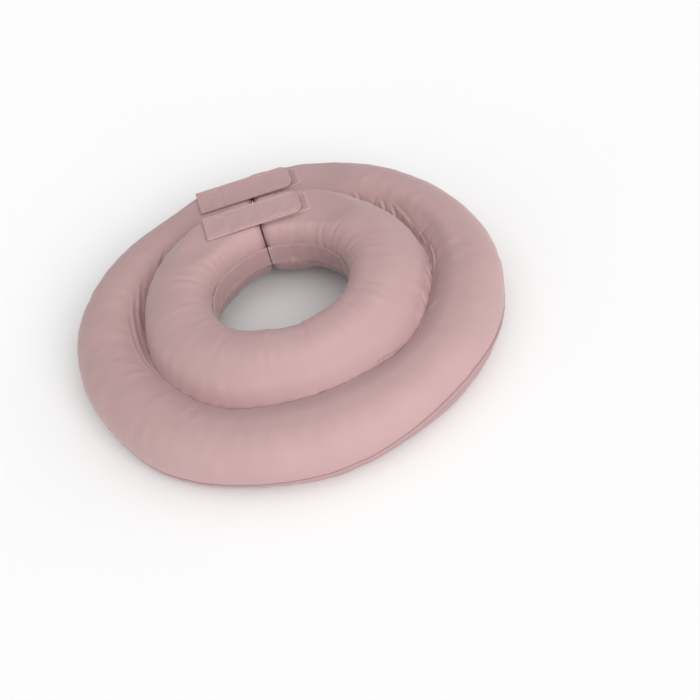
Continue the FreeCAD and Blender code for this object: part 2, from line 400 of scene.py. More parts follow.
def fold_height(path, height, width, degrees, v):
    """A fold's height at columns and rows: a ridge with a furrow beside it, fading at its ends."""
    nearest = np.full((len(degrees), v.shape[-1]), 1e3)
    side, along = np.zeros_like(nearest), np.zeros_like(nearest)
    per_degree = math.radians(1) * SEAM_R / MM
    for i, ((a0, v0), (a1, v1)) in enumerate(zip(path, path[1:])):
        du = ((degrees - a0 + 180) % 360 - 180) * per_degree
        eu, ev = (a1 - a0) * per_degree, v1 - v0
        t = np.clip((du * eu + (v - v0) * ev) / (eu * eu + ev * ev), 0, 1)
        away = np.hypot(du - t * eu, v - v0 - t * ev)
        closer = away < nearest
        across = (du * ev - (v - v0) * eu) / math.hypot(eu, ev)
        nearest = np.where(closer, away, nearest)
        side = np.where(closer, across, side)
        along = np.where(closer, (i + t) / (len(path) - 1), along)
    past_end = np.maximum(nearest - np.abs(side), 0)
    fade = np.sin(np.pi * (0.04 + 0.92 * along)) ** 0.7 * np.exp(-past_end / width)
    ridge = np.exp(-(nearest / width) ** 2)
    furrow = np.exp(-((side - 1.7 * width) / width) ** 2) * np.exp(-(nearest / (3 * width)) ** 4)
    return height * MM * fade * (ridge - furrow)


def pressed_folds(channel, azimuth, rows):
    """Heights of all the channel's folds and hollows; none where the skin meets the seam."""
    degrees, v = np.degrees(azimuth)[:, None], rows[None, :] / MM
    total = np.zeros((len(azimuth), len(rows)))
    for path, height, width in FOLDS[channel.name]:
        total += fold_height(path, height, width, degrees, v)
    for centre, middle, depth, wide, high in HOLLOWS[channel.name]:
        total -= depth * MM * bump(azimuth, centre, wide)[:, None] * near(v, middle, high)
    return total * smooth(v, 0, 0.9)


# ---- meshes ----

def to_space(r, t, z, azimuth):
    """Cylinder coordinates (t is sideways) to x, y, z."""
    c, s = np.cos(azimuth), np.sin(azimuth)
    return np.stack([r * c - t * s, r * s + t * c, z + 0 * c], -1)


def unit(v):
    """Vectors of length 1."""
    return v / np.maximum(np.linalg.norm(v, axis=-1, keepdims=True), 1e-12)


def grid_faces(index, closed=False, flip=False):
    """Quads of an index grid (columns, rows)."""
    left = index if closed else index[:-1]
    right = np.roll(index, -1, 0) if closed else index[1:]
    quads = np.stack([left[:, :-1], right[:, :-1], right[:, 1:], left[:, 1:]], -1).reshape(-1, 4)
    return quads[:, ::-1] if flip else quads


def make_object(name, points, faces, uv=None, material=None):
    """A smooth-shaded mesh object in the scene."""
    mesh = bpy.data.meshes.new(name)
    mesh.from_pydata(points.reshape(-1, 3).tolist(), [], [list(map(int, face)) for face in faces])
    mesh.update()
    mesh.shade_smooth()
    if uv is not None:
        layer = mesh.uv_layers.new(name="fabric")
        corners = np.empty(len(mesh.loops), int)
        mesh.loops.foreach_get("vertex_index", corners)
        layer.data.foreach_set("uv", uv.reshape(-1, 2)[corners].astype(np.float32).ravel())
    if material is not None:
        mesh.materials.append(material)
    piece = bpy.data.objects.new(name, mesh)
    bpy.context.scene.collection.objects.link(piece)
    return piece


def rest_panel(r, z, excess):
    """The cut panel: each row as long round the collar as its fabric, laid out as an open cone."""
    anchor = int(np.argmax(z[0]))
    want = r * (1 + excess)
    step = np.hypot(np.diff(r, axis=1), np.diff(z, axis=1))
    pr, pz = want.copy(), np.zeros_like(want)
    for j in range(anchor, r.shape[1] - 1):
        d = np.clip(want[:, j + 1] - pr[:, j], -0.99 * step[:, j], 0.99 * step[:, j])
        pr[:, j + 1] = pr[:, j] + d
        pz[:, j + 1] = pz[:, j] - np.sqrt(step[:, j] ** 2 - d * d)
    for j in range(anchor, 0, -1):
        d = np.clip(want[:, j - 1] - pr[:, j], -0.99 * step[:, j - 1], 0.99 * step[:, j - 1])
        pr[:, j - 1] = pr[:, j] + d
        pz[:, j - 1] = pz[:, j] + np.sqrt(step[:, j - 1] ** 2 - d * d)
    return pr, pz


def inflate(channel, azimuth, rows):
    """Cloth simulation of the channel's skin; returns its moves in cylinder coordinates."""
    r, z, nr, nz = channel.design(azimuth, rows)
    rough = grid_noise(azimuth, len(rows), 130, 18) * 0.2 * MM
    start = to_space(r + nr * rough, 0, z + nz * rough, azimuth[:, None])
    pr, pz = rest_panel(r, z, channel.gather(azimuth[:, None], rows[None, :]))
    panel = to_space(pr, 0, pz, azimuth[:, None])
    index = np.arange(r.size).reshape(r.shape)
    cloth = make_object("cloth", start * CLOTH_SCALE,
                        grid_faces(index, closed=True, flip=channel.sign > 0))
    cloth.shape_key_add(name="Basis")
    key = cloth.shape_key_add(name="panel")
    key.data.foreach_set("co", (panel * CLOTH_SCALE).ravel())
    key.value = 0
    pins = cloth.vertex_groups.new(name="pins")
    pinned = channel.pinned(*channel.section(rows))
    pins.add(index[:, pinned].ravel().tolist(), 1.0, "REPLACE")
    modifier = cloth.modifiers.new("cloth", "CLOTH")
    for setting, value in CLOTH_SETTINGS.items():
        setattr(modifier.settings, setting, value)
    modifier.settings.vertex_group_mass = "pins"
    modifier.settings.rest_shape_key = key
    modifier.settings.effector_weights.gravity = 0
    modifier.collision_settings.use_collision = False
    modifier.point_cache.frame_start = 1
    modifier.point_cache.frame_end = CLOTH_FRAMES
    for step in range(1, CLOTH_FRAMES + 1):
        bpy.context.scene.frame_set(step)
    mesh = cloth.evaluated_get(bpy.context.evaluated_depsgraph_get()).to_mesh()
    out = np.empty(len(mesh.vertices) * 3)
    mesh.vertices.foreach_get("co", out)
    bpy.data.objects.remove(cloth)
    bpy.context.scene.frame_set(1)
    out = out.reshape(start.shape) / CLOTH_SCALE
    c, s = np.cos(azimuth)[:, None], np.sin(azimuth)[:, None]
    moved = np.stack([out[..., 0] * c + out[..., 1] * s - r,
                      -out[..., 0] * s + out[..., 1] * c, out[..., 2] - z], -1)
    return np.clip(moved - moved.mean(0), -CLOTH_REACH, CLOTH_REACH)


# ---- fine skins ----

def column_offsets():
    """Angles of the columns from the slit, closer together where the stuffed ends are rounded."""
    close = np.radians([0, 0.12, 0.3, 0.55, 0.9, 1.35, 1.9, 2.6])
    start = math.radians(3.4)
    quarters = [np.linspace(start, math.pi / 2, SIDE_COLUMNS + 1)[:-1],
                np.linspace(math.pi / 2, 1.5 * math.pi, FRONT_COLUMNS + 1)[:-1],
                np.linspace(1.5 * math.pi, TAU - start, SIDE_COLUMNS + 1)]
    return np.concatenate([close, *quarters, TAU - close[::-1]]), len(close) + SIDE_COLUMNS


OFFSETS, LEFT_END = column_offsets()
COLUMNS = NAPE + OFFSETS
FRONT_END = LEFT_END + FRONT_COLUMNS
ZONES = {"left": slice(0, LEFT_END + 1), "front": slice(LEFT_END, FRONT_END + 1),
         "right": slice(FRONT_END, len(COLUMNS))}
SIDE = np.where(OFFSETS < math.pi, -1.0, 1.0)       # -1 on the left half


def at_slit(points, middle=None):
    """Moves a grid's first and last columns off the slit's plane, and rounds stuffed ends."""
    x, y, z = points[..., 0], points[..., 1], points[..., 2]
    back = y > 0
    x = np.where(back, SIDE[:, None] * np.sqrt(x ** 2 + SLIT_HALF ** 2), x)
    if middle is not None:
        deep = np.clip(END_ROUND - (np.abs(x) - SLIT_HALF), 0, END_ROUND)
        inset = np.where(back, END_ROUND - np.sqrt(END_ROUND ** 2 - deep ** 2), 0)
        dy, dz = y - middle[0], z - middle[1]
        keep = 1 - inset / np.maximum(np.hypot(dy, dz), END_ROUND)
        y, z = middle[0] + dy * keep, middle[1] + dz * keep
    return np.stack([x, y, z], -1)


def flats(tab_name):
    """Heights of the flats under a tab on the left and right halves, and the tab's middle in y."""
    base_low, base_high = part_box(f"{tab_name}_tab_base")
    return (base_low.z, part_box(f"{tab_name}_loop_tape")[0].z), (base_low.y + base_high.y) / 2


def press(points, heights, tab_y):
    """Presses the crown flat under the tabs; heights are the flats on the left and the right."""
    x, y, z = points[..., 0], points[..., 1], points[..., 2]
    flat = np.where(SIDE < 0, heights[0], heights[1])[:, None]
    # Near the tabs the fabric is also held up to the flat, so that they lie on it.
    held = (smooth(-np.abs(y - tab_y), -20 * MM, -13 * MM) * smooth(-np.abs(x), -68 * MM, -44 * MM)
            * smooth(z, flat - 14 * MM, flat - 6 * MM))
    z = z + held * np.clip(flat + 1.2 * MM - z, 0, 2.6 * MM)
    past = np.clip(np.abs(x) - PRESSED_LENGTH, 0, PRESSED_CURVE * 0.999)
    limit = flat + PRESSED_CURVE - np.sqrt(PRESSED_CURVE ** 2 - past ** 2)
    limit = limit + 12 * MM * (1 - smooth(y, 5 * MM, 60 * MM))
    over = (z - limit) / PRESS_SOFTNESS
    pressed = limit - PRESS_SOFTNESS * np.log1p(np.exp(-np.clip(over, -30, 30)))
    return np.stack([x, y, np.where(over < -20, z, pressed)], -1)


def grid_normals(points, sign):
    """Outward normals of a skin's grid."""
    return unit(np.cross(np.gradient(points, axis=0), np.gradient(points, axis=1)) * -sign)


def skin(channel, tab_name):
    """The channel's finished skin: points, normals and cloth coordinates in millimetres."""
    rows = channel.rows_at(SKIN_ROWS)
    r, z, nr, nz = channel.design(COLUMNS, rows)
    fold = pressed_folds(channel, COLUMNS, rows)
    r, z = r + nr * fold, z + nz * fold
    moved = np.zeros(r.shape + (3,))
    cloth_columns = NAPE + TAU * np.arange(CLOTH_COLUMNS) / CLOTH_COLUMNS
    moved = inflate(channel, cloth_columns, channel.rows_at(CLOTH_ROWS)).transpose(1, 0, 2)
    moved = cubic(moved, np.linspace(0, CLOTH_ROWS, SKIN_ROWS + 1), False).transpose(1, 0, 2)
    moved = cubic(moved, OFFSETS / TAU * CLOTH_COLUMNS, True)
    points = to_space(r + moved[..., 0], moved[..., 1], z + moved[..., 2], COLUMNS[:, None])
    points = at_slit(press(points, *flats(tab_name)), channel.middle)
    points[..., 2] = np.maximum(points[..., 2], 0.05 * MM)
    around = OFFSETS[:, None] * channel.middle[0]
    uv = np.stack(np.broadcast_arrays(around, rows[None, :]), -1) / MM
    return points, grid_normals(points, channel.sign), uv


# ---- pieces made from grids ----

def strip_piece(name, points, normals, uv, flip, material, closed_rows=False, caps=()):
    """One piece from a part of a grid; caps are the columns to close with a face."""
    n, m = points.shape[:2]
    index = np.arange(n * m).reshape(n, m)
    rows = np.concatenate([index, index[:, :1]], 1) if closed_rows else index
    faces = grid_faces(rows, flip=flip).tolist()
    for column in caps:
        loop = index[column].tolist()
        faces.append(loop if (column == 0) != flip else loop[::-1])
    piece = make_object(name, points, faces, uv, material)
    if normals is not None:
        piece.data.normals_split_custom_set_from_vertices(normals.reshape(-1, 3).tolist())
    return piece


def settle(piece, zone, replaced=()):
    """Rides a piece with the half it belongs to and hides the CAD parts it replaces; a piece in
    front is left in place.
    """
    if zone == "front":
        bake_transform(piece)
    else:
        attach(piece, f"{zone}_half")
        for node in replaced:
            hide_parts(f"{zone}_{node}")


def cover_pieces(channel, points, normals, uv, split):
    """The top and bottom covers in three zones each; the top stands for the filling too."""
    covers = {"top": (slice(0, split + 1), "cover_fabric", [f"{channel.name}_fill"]),
              "bottom": (slice(split, None), "underside_fabric", [])}
    for word, (rows, slot, more) in covers.items():
        for zone, columns in ZONES.items():
            part = (columns, rows)
            piece = strip_piece(f"{channel.name}_{word}_{zone}", points[part], normals[part],
                                uv[part], channel.sign > 0, materials[slot])
            settle(piece, zone, [f"{channel.name}_{word}_cover", *more])


def end_cap(channel, points, zone):
    """The panel that closes a channel at the slit, bulging a little with the filling."""
    column = points[0 if zone == "left" else -1]
    middle = np.array([column[0, 0], *channel.middle])
    side = -1 if zone == "left" else 1
    loops = []
    for share in (1.0, 0.93, 0.8, 0.62, 0.42, 0.2, 0.001):
        loop = middle + (column - middle) * share
        loop[:, 0] += side * 0.5 * MM * (1 - share ** 2)
        loops.append(loop)
    grid = np.stack(loops, 1)
    piece = strip_piece(f"{channel.name}_end_cap_{zone}", grid, None, grid[..., 1:] / MM,
                        (channel.sign > 0) != (side > 0), materials["cover_fabric"])
    settle(piece, zone, [f"{channel.name}_end_cap"])


def tube(centres, out, along, radius, sides=10):
    """A closed-row grid of a cord round the collar; radius may vary by column."""
    a = np.linspace(0, TAU, sides, endpoint=False)
    radius = np.broadcast_to(radius, len(centres))[:, None, None]
    return centres[:, None] + radius * (out[:, None] * np.cos(a)[:, None]
                                        + along[:, None] * np.sin(a)[:, None])


def around_pieces(name, grid, node):
    """A cord or band that goes all round the collar, as three closed-row pieces."""
    for zone, columns in ZONES.items():
        part = grid[columns]
        size = np.linalg.norm(np.diff(part, axis=1, append=part[:, :1]), axis=-1)
        v = np.cumsum(size, axis=1)
        u = OFFSETS[columns, None] * np.hypot(part[:, :1, 0], part[:, :1, 1]) + 0 * v
        caps = {"left": (0,), "front": (), "right": (len(part) - 1,)}[zone]
        piece = strip_piece(f"{name}_{zone}", part, None, np.stack([u, v], -1) / MM, False,
                            materials["seam_fabric"], closed_rows=True, caps=caps)
        settle(piece, zone, [node])


def row_frame(points, normals, row):
    """Points, outward normals and the direction across the row, along one row of a grid."""
    line, out = points[:, row].copy(), normals[:, row].copy()
    return line, out, np.cross(out, unit(np.gradient(line, axis=0)))


BAND_LOW, BAND_HIGH = (corner.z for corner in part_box("left_neck_band"))


def neck_band_grid():
    """The folded binding on the neck wall, a little wavy where the cushion gathers behind it."""
    middle_z, half = (BAND_LOW + BAND_HIGH) / 2, (BAND_HIGH - BAND_LOW) / 2 - 0.3 * MM
    a = np.linspace(0, TAU, 36, endpoint=False)
    c, s = np.cos(a), np.sin(a)
    face = WALL_R - 0.45 * MM + 0.85 * MM * np.sign(c) * np.abs(c) ** 0.8
    height = middle_z + half * np.sign(s) * np.abs(s) ** 0.75
    wave, slow = grid_noise(COLUMNS, 36, 90, 3), grid_noise(COLUMNS, 36, 14, 2)
    r = face[None, :] - np.where(c < 0.2, 0.22 * MM * wave + 0.15 * MM * slow, 0)
    z = height[None, :] + 0.35 * MM * slow
    return at_slit(to_space(r, 0, z, COLUMNS[:, None]))


# ---- thread, tabs and tapes ----

def threads(name, paths, radii, sides, material):
    """Many short tubes: paths is (count, steps, 3) and radii is one for each step."""
    along = unit(np.gradient(paths, axis=1))
    side = unit(np.cross(along, (0.36, 0.48, 0.80)))
    out = np.cross(side, along)
    a = np.linspace(0, TAU, sides, endpoint=False)
    reach = (side[:, :, None] * np.cos(a)[:, None] + out[:, :, None] * np.sin(a)[:, None])
    points = paths[:, :, None] + reach * np.asarray(radii)[:, None, None]
    index = np.arange(points[..., 0].size).reshape(points.shape[:3])
    after = np.roll(index, -1, 2)
    quads = np.stack([index[:, :-1], after[:, :-1], after[:, 1:], index[:, 1:]], -1)
    faces = quads.reshape(-1, 4).tolist() + index[:, 0, ::-1].tolist() + index[:, -1].tolist()
    return make_object(name, points, faces, material=material)


def stitch_paths(line, out, pitch=3.0 * MM, length=2.3 * MM):
    """Stitches that rise out of the cloth and dip back, along a line on its surface."""
    s = np.concatenate([[0], np.cumsum(np.linalg.norm(np.diff(line, axis=0), axis=1))])
    middle = np.arange(pitch / 2, s[-1], pitch)
    half = length / 2 * (1 + 0.08 * rng.standard_normal(len(middle)))
    at = middle[:, None] + half[:, None] * np.array([-1.0, -0.72, 0.0, 0.72, 1.0])
    at = np.clip(at, 0, s[-1])
    lift = STITCH_RADIUS * np.array([-0.9, 0.0, 0.45, 0.0, -0.9])

    def take(values):
        return np.stack([np.interp(at, s, values[:, k]) for k in range(3)], -1)

    return take(line) + unit(take(out)) * lift[:, None]


def stitched(name, lines, zone=None, **sizes):
    """A piece of thread stitched along lines; each line is (points, outward directions)."""
    paths = np.concatenate([stitch_paths(line, out, **sizes) for line, out in lines])
    radii = STITCH_RADIUS * np.array([0.4, 0.85, 1.0, 0.85, 0.4])
    piece = threads(name, paths, radii, 6, materials["thread"])
    if zone is not None:
        settle(piece, zone)
    return piece


def stitched_round(name, line, out):
    """Stitches all round the collar, in three pieces."""
    for zone, columns in ZONES.items():
        stitched(f"{name}_{zone}", [(line[columns], out[columns])], zone)


def on_top(corners, z, up=1.0):
    """A line through flat corners at height z, and its outward directions."""
    line = np.array([(x, y, z) for x, y in corners])
    return line, np.broadcast_to(up * UP, line.shape)


def strip_outline(x0, x1, y, half, corner, closed=True):
    """Points round a strip whose end at x1 is rounded."""
    a = np.linspace(math.pi / 2, 0, 12)
    bend_x, bend_y = x1 - corner, y + half - corner
    top = [(bend_x + corner * math.cos(t), bend_y + corner * math.sin(t)) for t in a]
    low = [(px, 2 * y - py) for px, py in reversed(top)]
    points = [(x0, y + half), *top, *low, (x0, y - half)]
    return points + points[:1] if closed else points


def pillow_strip(name, xs, y, half, corner, surface, material, across=61):
    """A flat sewn strip with a rounded end; surface gives its top and bottom heights."""
    x0, x1 = xs[0], xs[-1]
    past = np.clip(xs - (x1 - corner), 0, corner)
    reach = half - corner + np.sqrt(corner ** 2 - past ** 2)
    t = np.linspace(-1, 1, across)
    t = np.sign(t) * (1 - (1 - np.abs(t)) ** 1.35)
    x = np.broadcast_to(xs[:, None], (len(xs), across))
    side = reach[:, None] * t[None, :]
    past_x = np.maximum(x - (x1 - corner), 0)
    past_y = np.maximum(np.abs(side) - (half - corner), 0)
    curve = corner - np.hypot(past_x, past_y)
    inside = np.minimum(np.where(x > x1 - corner, curve, half - np.abs(side)), x - x0)
    top_z, low_z = surface(x, y + side, np.maximum(inside, 0))
    index = np.arange(x.size).reshape(x.shape)
    points = np.stack([np.stack([x, y + side, z], -1) for z in (top_z, low_z)])
    faces = grid_faces(index).tolist() + grid_faces(index + x.size, flip=True).tolist()
    border = np.concatenate([index[:, 0], index[-1, 1:], index[-2::-1, -1], index[0, -2:0:-1]])
    after = np.roll(border, -1)
    faces += np.stack([border, border + x.size, after + x.size, after], 1).tolist()
    return make_object(name, points, faces, points[..., :2] / MM, material)


def rounded(inside, edge, low, high):
    """Top and bottom of a strip whose edge is rounded."""
    depth = np.clip(inside / edge, 0, 1)
    thick = (high - low) / 2 * np.sqrt(np.clip(1 - (1 - depth) ** 2, 0, 1)).clip(0.12)
    return (high + low) / 2 + thick, (high + low) / 2 - thick


def strip_steps(x0, x1, corner, fine=()):
    """Places along a strip, closer together at its ends and near the fine places."""
    edge = 1.2 * MM
    xs = [x0 + edge * (1 - math.cos(t)) for t in np.linspace(0, math.pi / 2, 5)]
    xs += np.arange(x0 + edge, x1 - corner, 0.8 * MM).tolist()
    xs += [x1 - corner + corner * math.sin(t) for t in np.linspace(0, math.pi / 2, 18)]
    for place in fine:
        xs += np.arange(place - 1 * MM, place + 7 * MM, 0.3 * MM).tolist()
    return np.unique(np.round(xs, 6))


def tab_surface(y, hinge, base_low, strap_low, strap_high, tape_x):
    """Top and bottom heights of a tab, pulled in at its stitching and a little puffed."""
    tape_middle, tape_half = sum(tape_x) / 2, (tape_x[1] - tape_x[0]) / 2

    def surface(x, yy, inside):
        top, low = rounded(inside, 1.0 * MM, base_low.z, strap_high.z)
        top = top - GROOVE * near(inside, TAB_EDGE, 0.55 * MM)
        on_tape = np.maximum(np.abs(yy - y) - TAPE_SEWN, np.abs(x - tape_middle) - tape_half)
        top = top - GROOVE * near(on_tape, 0, 0.5 * MM) - 0.35 * MM * near(x, hinge, 0.8 * MM)
        puff = 0.16 * MM * np.sin(x / (2.6 * MM) + 1.3 * np.sin(yy / (5 * MM)))
        puff = puff * smooth(inside, 0, 3 * MM)
        rise = (strap_low.z - base_low.z) * smooth(x, hinge - 0.6 * MM, hinge + 0.6 * MM)
        return top + puff * (1 - near(on_tape, 0, 1.5 * MM)), np.minimum(low + rise, top - 0.1 * MM)

    return surface


def rectangle(x_range, y, half):
    """The corners of a rectangle, the first one repeated."""
    x0, x1 = x_range
    corners = [(x0, y - half), (x1, y - half), (x1, y + half), (x0, y + half)]
    return corners + corners[:1]


def tab(name, half_body):
    """One closure tab: its sewn base and its strap are one padded strip with a crease between them.
    """
    base_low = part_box(f"{name}_tab_base")[0]
    strap_low, strap_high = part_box(f"{name}_tab_strap")
    tape_low, tape_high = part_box(f"{name}_hook_tape")
    hinge, end = strap_low.x, strap_high.x
    y, half = (strap_low.y + strap_high.y) / 2, (strap_high.y - strap_low.y) / 2
    tape_x = (tape_low.x, tape_high.x)
    surface = tab_surface(y, hinge, base_low, strap_low, strap_high, tape_x)
    xs = strip_steps(base_low.x, end, TAB_CORNER, fine=(hinge,))
    piece = pillow_strip(f"{name}_tab", xs, y, half, TAB_CORNER, surface, materials["tab_fabric"])
    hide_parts(f"{name}_tab_base", f"{name}_tab_strap")

    top_z, low_z = strap_high.z - GROOVE + 0.05 * MM, strap_low.z - 0.02 * MM
    sewn = (end - TAB_EDGE, y, half - TAB_EDGE, TAB_CORNER - TAB_EDGE)
    edge = strip_outline(base_low.x + TAB_EDGE, *sewn)
    under = strip_outline(hinge + TAB_EDGE, *sewn, closed=False)
    edge_thread = stitched(f"{name}_tab_edge_thread", [on_top(edge, top_z)])
    for bending in (piece, edge_thread):
        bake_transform(bending)

    tape_line = on_top(rectangle(tape_x, y, TAPE_SEWN), top_z)
    tape_thread = stitched(f"{name}_tab_tape_thread", [tape_line, on_top(under, low_z, -1.0)])
    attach(tape_thread, f"{name}_tab")
    box = rectangle((base_low.x + 4 * MM, hinge - 3.5 * MM), y, 10 * MM)
    crosses = [on_top(line, strap_high.z + 0.1 * MM) for line in (box, box[0:3:2], box[1:4:2])]
    base_thread = stitched(f"{name}_tab_base_thread", crosses, pitch=2.4 * MM, length=1.8 * MM)
    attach(base_thread, half_body)


def tape_ground(name, low, high, material, ripple):
    """A tape's woven ground with rounded edges and a fine ripple across."""
    y, half = (low.y + high.y) / 2, (high.y - low.y) / 2

    def surface(x, yy, inside):
        top, bottom = rounded(inside, 0.4 * MM, low.z, high.z)
        wave = ripple * np.sin(x / (0.45 * MM)) * smooth(inside, 0, 1 * MM)
        return top + wave, bottom - wave

    xs = np.unique(np.round(np.concatenate([
        strip_steps(low.x, high.x, 1.5 * MM), np.arange(low.x, high.x, 0.4 * MM)]), 6))
    return pillow_strip(name, xs, y, half, 1.5 * MM, surface, material, across=41)


def grid_places(low, high, pitch, first, last):
    """x and y of a grid on a tape, with margins before its first and after its last places."""
    xs = np.arange(low.x + first, high.x - last, pitch)
    ys = np.arange(low.y + first, high.y - last, pitch)
    return (grid.ravel() for grid in np.meshgrid(xs, ys, indexing="ij"))


def hook_tape(name):
    """The hook tape under a tab: its ground, and rows of small hooks that point down."""
    low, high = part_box(f"{name}_hook_tape")
    ground_low = Vector((low.x, low.y, high.z - 0.45 * MM))
    ground = tape_ground(f"{name}_hook_ground", ground_low, high, materials["hook_tape"], 0.03 * MM)
    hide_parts(f"{name}_hook_tape")
    x, y = grid_places(low, high, 1.3 * MM, 2.6 * MM, 2.2 * MM)
    turn = np.where(np.arange(x.size) % 2 == 0, 1.0, -1.0) + 0.15 * rng.standard_normal(x.size)
    reach = MM * np.array([0.0, 0.0, 0.05, 0.2, 0.36, 0.42])
    fall = MM * np.array([0.0, 0.3, 0.52, 0.68, 0.6, 0.42])
    paths = np.stack([x[:, None] + turn[:, None] * reach, y[:, None] + 0 * reach,
                      ground_low.z + 0.05 * MM - fall + 0 * x[:, None]], -1)
    hooks = threads(f"{name}_hooks", paths, 0.11 * MM * np.ones(6), 5, materials["hook_tape"])
    for piece in (ground, hooks):
        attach(piece, f"{name}_tab")


def loop_tape(name):
    """The loop tape on the right half: its ground, a pile of small loops and its stitching."""
    low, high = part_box(f"{name}_loop_tape")
    ground_high = Vector((high.x, high.y, low.z + 0.6 * MM))
    ground = tape_ground(f"{name}_loop_ground", low, ground_high, materials["loop_tape"], 0.05 * MM)
    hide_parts(f"{name}_loop_tape")
    pitch = 0.8 * MM
    x, y = grid_places(low, high, pitch, 2.4 * MM, 2.4 * MM)
    x = x + pitch * rng.uniform(-0.3, 0.3, x.size)
    y = y + pitch * rng.uniform(-0.3, 0.3, y.size)
    turn, size = rng.uniform(0, TAU, x.size), rng.uniform(0.7, 1.1, x.size)
    a = np.linspace(-0.25, math.pi + 0.25, 7)
    width, height = 0.42 * MM * np.cos(a), 0.5 * MM * np.sin(a)
    paths = np.stack([x[:, None] + np.cos(turn)[:, None] * width * size[:, None],
                      y[:, None] + np.sin(turn)[:, None] * width * size[:, None],
                      ground_high.z + height * size[:, None]], -1)
    loops = threads(f"{name}_loops", paths, 0.06 * MM * np.ones(7), 3, materials["loop_tape"])
    inset, y_middle = 1.5 * MM, (low.y + high.y) / 2
    border = rectangle((low.x + inset, high.x - inset), y_middle, high.y - inset - y_middle)
    around = on_top(border, ground_high.z + 0.1 * MM)
    sewn = stitched(f"{name}_loop_thread", [around])
    for piece, slot in ((ground, "loop_tape"), (loops, "loop_tape"), (sewn, "seam_fabric")):
        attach(piece, "right_half")


# ---- materials ----

class Nodes:
    """A small helper for a material's node tree."""

    def __init__(self, name):
        self.material = bpy.data.materials.new(name)
        self.material.use_nodes = True
        self.tree = self.material.node_tree
        self.shader = self.tree.nodes["Principled BSDF"]

    def add(self, kind, inputs=(), **settings):
        """A new node, with its inputs set or linked."""
        node = self.tree.nodes.new(kind)
        for key, value in settings.items():
            setattr(node, key, value)
        for key, value in dict(inputs).items():
            self.put(node.inputs[key], value)
        return node

    def put(self, socket, value):
        """Links another node's output to a socket, or sets the socket's own value."""
        if isinstance(value, bpy.types.NodeSocket):
            self.tree.links.new(value, socket)
        else:
            socket.default_value = value

    def finished(self, sockets):
        """The material, with these values or links on its shader."""
        for key, value in sockets.items():
            self.put(self.shader.inputs[key], value)
        return self.material

    def math(self, operation, *values):
        node = self.add("ShaderNodeMath", operation=operation)
        for socket, value in zip(node.inputs, values):
            self.put(socket, value)
        return node.outputs[0]

    def noise(self, vector, scale, detail=2.0, roughness=0.5):
        node = self.add("ShaderNodeTexNoise", {"Vector": vector, "Scale": scale, "Detail": detail,
                                               "Roughness": roughness})
        return node.outputs["Fac"]

    def bump(self, height, distance, strength, below=None):
        node = self.add("ShaderNodeBump", {"Height": height, "Distance": distance,
                                           "Strength": strength})
        if below is not None:
            self.put(node.inputs["Normal"], below)
        return node.outputs[0]

    def mix(self, share, low, high):
        node = self.add("ShaderNodeMix", data_type="RGBA")
        self.put(node.inputs["Factor"], share)
        self.put(node.inputs["A"], low)
        self.put(node.inputs["B"], high)
        return node.outputs["Result"]


def scaled(colour, by):
    """A colour made darker or lighter, with an alpha of 1."""
    return (*[min(c * by, 1.0) for c in colour], 1.0)


def fabric(name, colour, thread=0.42, creases=1.0):
    """Smooth brushed polyester: a fine plain weave, soft creases and a slight sheen."""
    n = Nodes(name)
    at = n.add("ShaderNodeTexCoord")
    place, cloth = at.outputs["Object"], at.outputs["UV"]
    split = n.add("ShaderNodeSeparateXYZ", {"Vector": cloth})
    warp = n.math("SINE", n.math("MULTIPLY", split.outputs["X"], TAU / thread))
    weft = n.math("SINE", n.math("MULTIPLY", split.outputs["Y"], TAU / thread))
    weave = n.math("MULTIPLY", warp, weft)
    fuzz = n.noise(place, 1600.0, 3.0, 0.6)
    stretched = n.add("ShaderNodeVectorMath", {0: cloth, 1: (0.16, 0.045, 0.0)},
                      operation="MULTIPLY")
    crease = n.noise(stretched.outputs[0], 1.0, 3.0, 0.55)
    cloud = n.noise(place, 24.0, 3.0, 0.5)
    low = n.bump(crease, 0.9 * MM * creases, 0.35)
    low = n.bump(fuzz, 0.12 * MM, 0.35, low)
    low = n.bump(weave, 0.03 * MM, 0.4, low)
    tone = n.math("ADD", n.math("MULTIPLY", cloud, 0.7), n.math("MULTIPLY", fuzz, 0.3))
    return n.finished({
        "Base Color": n.mix(tone, scaled(colour, 0.90), scaled(colour, 1.10)),
        "Normal": low,
        "Roughness": n.math("ADD", n.math("MULTIPLY", fuzz, 0.16), 0.54),
        "Specular IOR Level": 0.35,
        "Sheen Weight": 0.22,
        "Sheen Roughness": 0.45,
        "Sheen Tint": (1.0, 0.93, 0.93, 1.0),
    })


def thread_material(name, colour):
    """Twisted sewing thread."""
    n = Nodes(name)
    place = n.add("ShaderNodeTexCoord").outputs["Object"]
    twist = n.noise(place, 2600.0, 2.0)
    return n.finished({
        "Base Color": n.mix(twist, scaled(colour, 0.8), scaled(colour, 1.15)),
        "Normal": n.bump(twist, 0.08 * MM, 0.5),
        "Roughness": 0.45,
        "Sheen Weight": 0.1,
    })


def pile_material(name, colour, scale, rough):
    """The face of a hook or loop tape."""
    n = Nodes(name)
    place = n.add("ShaderNodeTexCoord").outputs["Object"]
    pile = n.noise(place, scale, 4.0, 0.7)
    cloud = n.noise(place, 90.0, 2.0)
    tone = n.math("ADD", n.math("MULTIPLY", pile, 0.7), n.math("MULTIPLY", cloud, 0.3))
    return n.finished({
        "Base Color": n.mix(tone, scaled(colour, 0.72), scaled(colour, 1.22)),
        "Normal": n.bump(pile, 0.3 * MM, 0.6),
        "Roughness": rough,
        "Sheen Weight": 0.3,
    })


